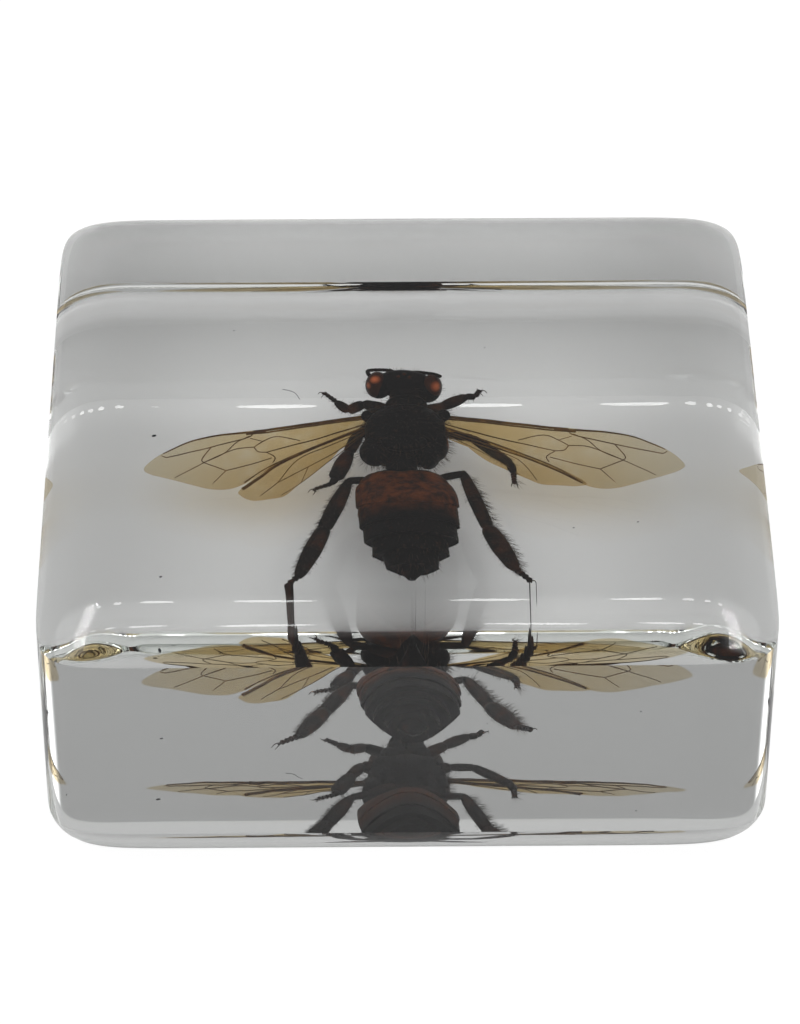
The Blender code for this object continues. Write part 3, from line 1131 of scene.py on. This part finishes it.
@dataclass(frozen=True)
class Leg:
    """A leg: its joints from hip to the claws' root, and the two end radii of each stretch between them."""

    joints: tuple[Point, ...]
    girths: tuple[Pair, ...]
    toe: Point
    beads: int = 4
    flatness: float = 0.85
    swelling: float = 1.12
    claw_girth: Pair = (0.045, 0.015)
    claw_bend: Point = (0.55, 0.16, 0.05)
    claw_tip: Pair = (0.17, 0.08)
    pad_share: float = 0.35
    pad_radii: Point = (0.07, 0.07, 0.05)

    def stretch(self, shape: Shape, start: Vector, end: Vector, girth: Pair) -> None:
        """One stretch with rounded ends that swells a little before its far end.

        Args:
            shape: the mesh that it is added to.
            start: the near joint.
            end: the far joint.
            girth: the radii at the two joints.
        """
        run = end - start
        first, last = girth
        swell = max(girth) * self.swelling
        rings = ((-0.04, first * 0.55), (0.03, first * 0.9), (0.2, (first + swell) / 2), (0.5, swell),
                 (0.75, (last + swell) / 2), (0.94, last), (1.03, last * 0.6))
        stations = []
        for along, radius in rings:
            stations.append(station(start + run * along, run, radius, radius * self.flatness))
        sweep(shape, stations, 14)

    def foot(self, shape: Shape, start: Vector, end: Vector, girth: Pair) -> None:
        """The foot's bead-like joints, two hooked claws and the pad between them.

        Args:
            shape: the mesh that it is added to.
            start: the foot's first joint.
            end: the claws' root.
            girth: the radii of the first bead and the last.
        """
        run = (end - start) / self.beads
        for i, radius in enumerate(tapered(*girth, self.beads)):
            begin = start + run * i
            rings = ((0.0, radius * 0.6), (0.5, radius * 0.85), (0.9, radius * 1.1), (1.06, radius * 0.6))
            sweep(shape, [station(begin + run * along, run, wide, wide) for along, wide in rings], 10)
        toe = Vector(self.toe)
        across = (toe - end).cross(UP).normalized()
        share, aside, lift = self.claw_bend
        spread, drop = self.claw_tip
        for way in (-1, 1):
            bend = end.lerp(toe, share) + across * way * aside + UP * lift
            tip = toe + across * way * spread - UP * drop
            cord(shape, (end, bend, tip), 4, self.claw_girth, 8)
        ball(shape, end.lerp(toe, self.pad_share), self.pad_radii, 0.0, 10)

    def build(self, shape: Shape) -> None:
        """Add the whole leg to a shape.

        Args:
            shape: the mesh that it is added to.
        """
        places = [Vector(joint) for joint in self.joints]
        pairs = list(zip(places, places[1:], self.girths))
        for start, end, girth in pairs[:-1]:
            self.stretch(shape, start, end, girth)
        self.foot(shape, *pairs[-1])


LEGS = {
    "left_fore": Leg(
        ((-0.7, 6.9, 4.3), (-2.27, 7.76, 3.9), (-3.15, 7.19, 3.8), (-3.85, 8.0, 3.8), (-4.55, 8.79, 3.8)),
        ((0.42, 0.36), (0.34, 0.36), (0.3, 0.22), (0.18, 0.14)), (-4.82, 8.62, 3.75)),
    "right_fore": Leg(
        ((0.9, 6.71, 4.2), (2.35, 7.57, 3.7), (3.7, 8.55, 3.5), (4.25, 8.57, 3.45), (4.5, 9.14, 3.4)),
        ((0.42, 0.38), (0.38, 0.3), (0.24, 0.22), (0.18, 0.15)), (4.82, 8.88, 3.35)),
    "left_mid": Leg(
        ((-1.2, 5.0, 4.4), (-2.5, 5.19, 4.1), (-3.12, 3.48, 4.0), (-3.9, 1.21, 4.1), (-4.1, 0.72, 4.15),
         (-5.02, 0.29, 4.2)),
        ((0.5, 0.42), (0.34, 0.36), (0.36, 0.46), (0.22, 0.18), (0.17, 0.13)), (-5.33, -0.12, 4.2)),
    "right_mid": Leg(
        ((1.2, 4.81, 4.4), (2.6, 4.9, 4.1), (4.0, 4.64, 4.0), (6.1, 2.33, 4.2), (6.28, 1.52, 4.25),
         (6.3, 0.67, 4.3)),
        ((0.5, 0.4), (0.28, 0.28), (0.32, 0.3), (0.24, 0.2), (0.18, 0.15)), (6.3, 0.33, 4.3)),
    "left_hind": Leg(
        ((-0.6, 1.6, 4.0), (-2.1, 0.98, 4.2), (-3.12, 0.83, 4.4), (-4.55, -3.25, 4.45), (-5.95, -7.1, 4.5),
         (-6.95, -8.25, 4.55)),
        ((0.42, 0.3), (0.26, 0.26), (0.28, 0.44), (0.48, 0.36), (0.2, 0.16)), (-7.43, -8.65, 4.35)),
    "right_hind": Leg(
        ((0.5, 1.5, 4.1), (2.0, 1.0, 4.4), (3.4, 1.25, 4.6), (4.7, -3.5, 4.85), (6.1, -6.85, 5.0),
         (6.9, -8.0, 5.3)),
        ((0.42, 0.3), (0.24, 0.26), (0.3, 0.38), (0.5, 0.4), (0.22, 0.18)), (7.1, -8.32, 5.45)),
}


# ---------------------------------------------------------------- bee: hair

@dataclass(frozen=True)
class Coat:
    """Fine hairs, each a bent three-sided spike, set on a skin."""

    count: int
    length: Pair
    radius: float
    lean: Point
    seed: int
    wander: float = 0.8
    stray: float = 0.3
    bend: float = 0.15

    def spike(self) -> bpy.types.Mesh:
        """One hair of unit length that stands on the origin.

        Returns:
            The hair.
        """
        shape = bmesh.new()
        path = [Vector((0.0, 0.0, -0.1)), Vector((0.06, 0.0, 0.45)), Vector((0.2, 0.0, 1.0))]
        tube(shape, path, (1.0, 0.8, 0.15), 3)
        bmesh.ops.recalc_face_normals(shape, faces=shape.faces)
        return to_mesh(shape, "hair")

    def grow(self, coat: Shape, skin: Shape, share: Callable[[Vector, Vector], float]) -> None:
        """Set hairs on a skin.

        Args:
            coat: the mesh that the hairs are added to.
            skin: the skin that they stand on.
            share: for a place and its normal, the share of the full length there, or 0 for none.
        """
        draw = random.Random(self.seed)
        strand = self.spike()
        skin.faces.ensure_lookup_table()
        areas = [face.calc_area() for face in skin.faces]
        for face in draw.choices(list(skin.faces), areas, k=self.count):
            corner = draw.choice(face.verts).co
            place = face.calc_center_median().lerp(corner, draw.random() * self.wander)
            size = draw.uniform(*self.length) * share(place, face.normal)
            if size <= 0.0:
                continue
            stray = Vector(draw.uniform(-self.stray, self.stray) for _ in range(3))
            way = (face.normal + Vector(self.lean) + stray).normalized()
            stand = way.to_track_quat("Z", "X").to_matrix().to_4x4()
            twist = Matrix.Rotation(draw.uniform(0.0, math.tau), 4, "Z")
            scale = Matrix.Diagonal((self.radius, self.radius, size, 1.0))
            hair = strand.copy()
            bend = Matrix.Identity(4)
            bend[0][2] = draw.uniform(-self.bend, self.bend)
            hair.transform(Matrix.Translation(place) @ stand @ twist @ bend @ scale)
            coat.from_mesh(hair)
            bpy.data.meshes.remove(hair)
        bpy.data.meshes.remove(strand)


@dataclass
class Fur:
    """All hair of the bee, and where each coat ends."""

    back: Coat = Coat(1500, (0.3, 0.65), 0.011, (0.0, -0.5, 0.0), 11)
    crown: Coat = Coat(260, (0.2, 0.4), 0.010, (0.0, 0.3, 0.0), 12)
    fringe: Coat = Coat(2200, (0.35, 0.75), 0.013, (0.0, -1.9, 0.0), 13)
    bristles: Coat = Coat(2400, (0.15, 0.3), 0.010, (0.0, -0.7, 0.0), 21)
    combs: Coat = Coat(7000, (0.4, 0.8), 0.011, (0.0, -0.8, 0.0), 22)
    bare_tail_y: float = -7.2
    fringe_y: float = -1.8
    fringe_least: float = 0.25
    fringe_grows_y: float = -3.7
    fringe_growth: float = 3.6
    bristles_from_x: float = 2.2
    bare_feet_y: float = -7.4
    combs_over_y: Pair = (-7.0, 1.0)
    combs_outward: float = 0.25
    left_comb_share: float = 0.55

    def full(self, place: Vector, normal: Vector) -> float:
        """Full length all over."""
        return 1.0

    def tailwards(self, place: Vector, normal: Vector) -> float:
        """Long on the last full plates, short before them, and none at the tip and on the front ones.

        Args:
            place: a place on the abdomen.
            normal: its normal.

        Returns:
            The share of the full length.
        """
        if place.y < self.bare_tail_y:
            return 0.0
        least = self.fringe_least if place.y < self.fringe_y else 0.0
        return min(max((self.fringe_grows_y - place.y) / self.fringe_growth, least), 1.0)

    def off_body(self, place: Vector, normal: Vector) -> float:
        """All over, but not where the legs leave the thorax nor on the hind feet."""
        return 1.0 if abs(place.x) > self.bristles_from_x and place.y > self.bare_feet_y else 0.0

    def outside(self, place: Vector, normal: Vector) -> float:
        """Only on the outer side of a hind leg, longer on the right.

        Args:
            place: a place on the legs.
            normal: its normal.

        Returns:
            The share of the full length.
        """
        back, front = self.combs_over_y
        outward = normal.x if place.x > 0 else -normal.x
        if not back < place.y < front or outward < self.combs_outward:
            return 0.0
        return 1.0 if place.x > 0 else self.left_comb_share

    def on_body(self, thorax: Shape, skull: Shape, abdomen: Shape) -> Shape:
        """Short fuzz on thorax and head, and a fringe that grows towards the tail.

        Args:
            thorax: the thorax's skin.
            skull: the head's skin.
            abdomen: the abdomen's plates.

        Returns:
            The hair.
        """
        coat = bmesh.new()
        self.back.grow(coat, thorax, self.full)
        self.crown.grow(coat, skull, self.full)
        self.fringe.grow(coat, abdomen, self.tailwards)
        return coat

    def on_legs(self, legs: Shape) -> Shape:
        """Short bristles all over the legs, and long combs on the outer side of the hind legs.

        Args:
            legs: the skin of all legs.

        Returns:
            The hair.
        """
        coat = bmesh.new()
        self.bristles.grow(coat, legs, self.off_body)
        self.combs.grow(coat, legs, self.outside)
        return coat


# ---------------------------------------------------------------- the bee as a whole

@dataclass
class Bee:
    """The bee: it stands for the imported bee, in pieces by finish."""

    slot: str = "bee_chitin"
    node: str = "bee"
    body: ChitinFinish = ChitinFinish("bee_shell", zone_warm=(0.30, 0.09, 0.02), spots=(
        (-2.3, 6.85, 4.9, 0.55), (2.4, 6.6, 4.9, 0.6), (-2.5, 5.1, 5.3, 0.5), (2.8, 5.1, 5.3, 0.6),
        (2.55, 3.5, 5.3, 0.75)))
    banded: ChitinFinish = ChitinFinish("bee_banded_shell", zone=(0.0, 1.0, 0.0, -3.6, -1.9),
                                        zone_warm=(0.135, 0.036, 0.009))
    legs: ChitinFinish = ChitinFinish("bee_leg_shell", dark=(0.010, 0.007, 0.006), warm=(0.085, 0.026, 0.009),
                                      patch_from=0.42, patch_per_mm=0.6)
    eyes: ChitinFinish = ChitinFinish(
        "bee_eye", patch_from=0.9, zone_warm=(0.62, 0.15, 0.05), pits_per_mm=16.0, roughness=0.3,
        spots=((-1.6, 8.3, 6.75, 0.42), (-2.15, 7.95, 6.4, 0.42), (2.12, 7.66, 6.7, 0.62)))
    veins: ChitinFinish = ChitinFinish("wing_vein", dark=(0.07, 0.034, 0.012), warm=(0.22, 0.11, 0.025),
                                       patch_from=0.4)
    hair: ChitinFinish = ChitinFinish("bee_hair", dark=(0.05, 0.03, 0.018), warm=(0.22, 0.13, 0.06))
    film: MembraneFinish = MembraneFinish()

    def build(self, effects: Effects) -> None:
        """Build every piece of the bee, with the hair grown from the finished skins.

        Args:
            effects: the shared node groups.
        """
        head, wings, fur = Head(), Wings(), Fur()
        thorax, abdomen, skull, legs = Thorax().build(), Abdomen().build(), head.skull(), bmesh.new()
        for leg in LEGS.values():
            leg.build(legs)
        for skin in (thorax, abdomen, skull, legs):
            bmesh.ops.recalc_face_normals(skin, faces=skin.faces)
        for name, shape, finish in (
            ("bee_body_hair", fur.on_body(thorax, skull, abdomen), self.hair),
            ("bee_leg_hair", fur.on_legs(legs), self.hair),
            ("bee_head", skull, self.body),
            ("bee_eyes", head.eyes(), self.eyes),
            ("bee_feelers", head.feeler_shape(), self.legs),
            ("bee_thorax", thorax, self.body),
            ("bee_abdomen", abdomen, self.banded),
            ("bee_legs", legs, self.legs),
            ("bee_wing_veins", wings.veins(), self.veins),
            ("bee_wing_membranes", wings.membranes(), self.film),
        ):
            publish(shape, name, finish.material(effects), (self.node,))


@dataclass
class Inclusions:
    """What was caught in the resin with the bee: a short fibre and a few specks of dust."""

    slot: str = "bee_chitin"
    finish: ChitinFinish = ChitinFinish("resin_dust", dark=(0.03, 0.03, 0.04), warm=(0.08, 0.06, 0.05))
    fibre: tuple[Point, ...] = ((-6.95, 7.9, 6.0), (-6.5, 7.76, 6.0), (-6.2, 7.47, 6.1), (-5.95, 7.0, 6.0))
    fibre_girth: Pair = (0.022, 0.015)
    specks: tuple[tuple[Point, float], ...] = (
        ((-14.3, 3.9, 6.0), 0.09), ((-13.65, -7.0, 4.3), 0.06), ((1.7, -9.76, 3.6), 0.05),
        ((9.4, -5.28, 8.2), 0.035), ((-9.8, 11.28, 9.4), 0.03), ((4.9, 12.42, 4.4), 0.03),
        ((13.2, -2.52, 3.9), 0.04),
    )
    speck_shape: Point = (1.6, 1.0, 0.7)
    speck_turn_deg: float = 20.0

    def build(self, effects: Effects) -> None:
        """The fibre and the specks as one piece.

        Args:
            effects: the shared node groups.
        """
        shape = bmesh.new()
        cord(shape, self.fibre, 6, self.fibre_girth, 6)
        for centre, radius in self.specks:
            ball(shape, centre, tuple(radius * share for share in self.speck_shape), self.speck_turn_deg, 10)
        publish(shape, "resin_dust", self.finish.material(effects))


# ---------------------------------------------------------------- studio

@dataclass
class Studio:
    """A pale floor, soft light from all round, two rows of small lamps and the camera."""

    floor_half: float = 1500.0
    floor_gap: float = 0.02
    floor_finish: FloorFinish = FloorFinish()
    sky_top: float = 1.1
    sky_front: float = 0.35
    sky_sides: float = 0.6
    sky_boxes: float = 1.85
    sky_back: float = 0.30
    sky_back_low: float = 0.50
    back_lift: Pair = (0.4, 0.62)
    back_turn: Pair = (-0.1, 0.45)
    top_lift: Pair = (0.80, 0.93)
    top_turn: Pair = (-0.30, -0.12)
    sides_from: Pair = (0.45, 0.65)
    box_lift: Pair = (0.5, 0.62)
    box_edges: tuple[Pair, Pair, Pair] = ((0.2, 0.32), (0.78, 0.68), (0.6, 0.45))
    lamp_distance: float = 300.0
    lamp_rows: tuple[tuple[float, Pair, tuple[float, ...]], ...] = (
        (113.3, (5.0, 6.0), (-122.0, -89.0, -54.0, -30.0, -12.3, 12.75, 32.0, 50.6, 75.5, 104.0)),
        (87.0, (5.0, 7.0), (-86.0, -56.0, -32.0, -13.2, 17.7, 36.6, 55.4, 81.0, 108.0)),
    )
    lamp_strength: float = 8.0
    diode_strips: tuple[tuple[float, float, float], ...] = ((-128.0, -119.0, 151.0), (127.0, -170.0, 100.0))
    diode_columns: int = 4
    diode_rows: int = 14
    diode_pitch: float = 12.0
    diode_radius: float = 2.6
    diode_strength: float = 60.0
    camera_place: Point = (-2.727, -195.21, 183.82)
    camera_down_deg: float = 41.757
    camera_yaw_deg: float = 0.734
    camera_roll_deg: float = 0.135
    camera_reach: Pair = (0.01, 20.0)
    lens: float = 161.07
    light_bounces: int = 28

    def floor(self) -> None:
        """A wide matt floor just under the block, with a painted pool of light glowing under the block, which
        direct sight shows as a plain pale surround.
        """
        shape = bmesh.new()
        bmesh.ops.create_grid(shape, x_segments=1, y_segments=1, size=self.floor_half)
        bmesh.ops.translate(shape, vec=(0.0, 0.0, -self.floor_gap), verts=shape.verts)
        sheet = settle(shape, "floor", self.floor_finish.material())

    def sky(self) -> None:
        """Soft light: two bright boxes overhead to the sides, and dimmer light from all round."""
        world = bpy.data.worlds.new("soft_tent")
        world.use_nodes = True
        bpy.context.scene.world = world
        bench = Bench(world.node_tree)
        parts = bench.add("SeparateXYZ", {0: bench.add("TexCoord").outputs["Generated"]}).outputs
        aside, ahead = (bench.math("ABSOLUTE", parts[axis]) for axis in "XY")
        rear = bench.between(bench.ramp(parts["Z"], *self.back_lift), self.sky_back_low, self.sky_back)
        light = bench.between(bench.ramp(parts["Y"], *self.back_turn), self.sky_front, rear)
        high = bench.ramp(parts["Z"], *self.top_lift)
        top = bench.math("MULTIPLY", high, bench.ramp(parts["Y"], *self.top_turn))
        light = bench.between(top, light, self.sky_top)
        light = bench.between(bench.ramp(aside, *self.sides_from), light, self.sky_sides)
        boxes = bench.ramp(parts["Z"], *self.box_lift)
        for source, edge in zip((aside, aside, ahead), self.box_edges):
            boxes = bench.math("MULTIPLY", boxes, bench.ramp(source, *edge))
        light = bench.between(boxes, light, self.sky_boxes)
        bench.fill(world.node_tree.nodes["Background"], {"Color": WHITE, "Strength": light})

    def glowing(self, shape: Shape, name: str, strength: float) -> None:
        """Put up a set of small lamps, in millimetres, that only gloss and clear resin show.

        Args:
            shape: the lamps' faces.
            name: the set's name.
            strength: how bright they are.
        """
        lamps = settle(shape, name, EmitterFinish(f"{name}_glow", strength).material())
        for kind in ("visible_camera", "visible_diffuse", "visible_shadow"):
            setattr(lamps, kind, False)

    def lamp(self, shape: Shape, centre: Vector, half: Pair) -> None:
        """Add one oval lamp face that looks at the block.

        Args:
            shape: the mesh that it is added to.
            centre: its centre.
            half: its two half sizes.
        """
        facing = (-centre).to_track_quat("Z", "Y").to_matrix().to_4x4()
        place = Matrix.Translation(centre) @ facing @ Matrix.Diagonal((*half, 1.0, 1.0))
        bmesh.ops.create_circle(shape, cap_ends=True, segments=16, radius=1.0, matrix=place)

    def lamps(self) -> None:
        """Two rows of lamps overhead, across the view, and a strip of tiny diodes at either side of them."""
        rows = bmesh.new()
        for row, half, places in self.lamp_rows:
            lift = math.radians(row)
            y, z = -math.cos(lift) * self.lamp_distance, math.sin(lift) * self.lamp_distance
            for x in places:
                self.lamp(rows, Vector((x, y, z)), half)
        self.glowing(rows, "lamp_rows", self.lamp_strength)
        strips = bmesh.new()
        for x, front, back in self.diode_strips:
            for i in range(self.diode_rows):
                for j in range(self.diode_columns):
                    across = (j - (self.diode_columns - 1) / 2 + (i % 2) / 2) * self.diode_pitch
                    y = front + (back - front) * i / (self.diode_rows - 1)
                    self.lamp(strips, Vector((x + across, y, self.lamp_distance)), (self.diode_radius,) * 2)
        self.glowing(strips, "diode_strips", self.diode_strength)

    def camera(self) -> None:
        """The camera at the photograph's place and angle."""
        turn = Matrix.Rotation(-math.radians(self.camera_yaw_deg), 4, "Z")
        turn = turn @ Matrix.Rotation(math.pi / 2 - math.radians(self.camera_down_deg), 4, "X")
        turn = turn @ Matrix.Rotation(math.radians(self.camera_roll_deg), 4, "Z")
        data = bpy.data.cameras.new("camera")
        data.lens = self.lens
        data.clip_start, data.clip_end = self.camera_reach
        camera = linked("camera", data)
        camera.matrix_world = Matrix.Translation(Vector(self.camera_place) * MM) @ turn
        bpy.context.scene.camera = camera

    def build(self) -> None:
        """Set up the whole studio."""
        self.floor()
        self.sky()
        self.lamps()
        self.camera()
        paths = bpy.context.scene.cycles
        paths.max_bounces = paths.glossy_bounces = paths.transmission_bounces = self.light_bounces
        view = bpy.context.scene.view_settings
        view.view_transform = "Standard"
        view.look = "None"


def main() -> None:
    """Build the studio, the resin, the bee and the dust."""
    logging.basicConfig(level=logging.INFO, format="%(name)s: %(message)s")
    effects = Effects.made()
    Studio().build()
    ResinBlock().build()
    Bee().build(effects)
    Inclusions().build(effects)
    bpy.context.view_layer.update()


if __name__ == "__main__":
    main()
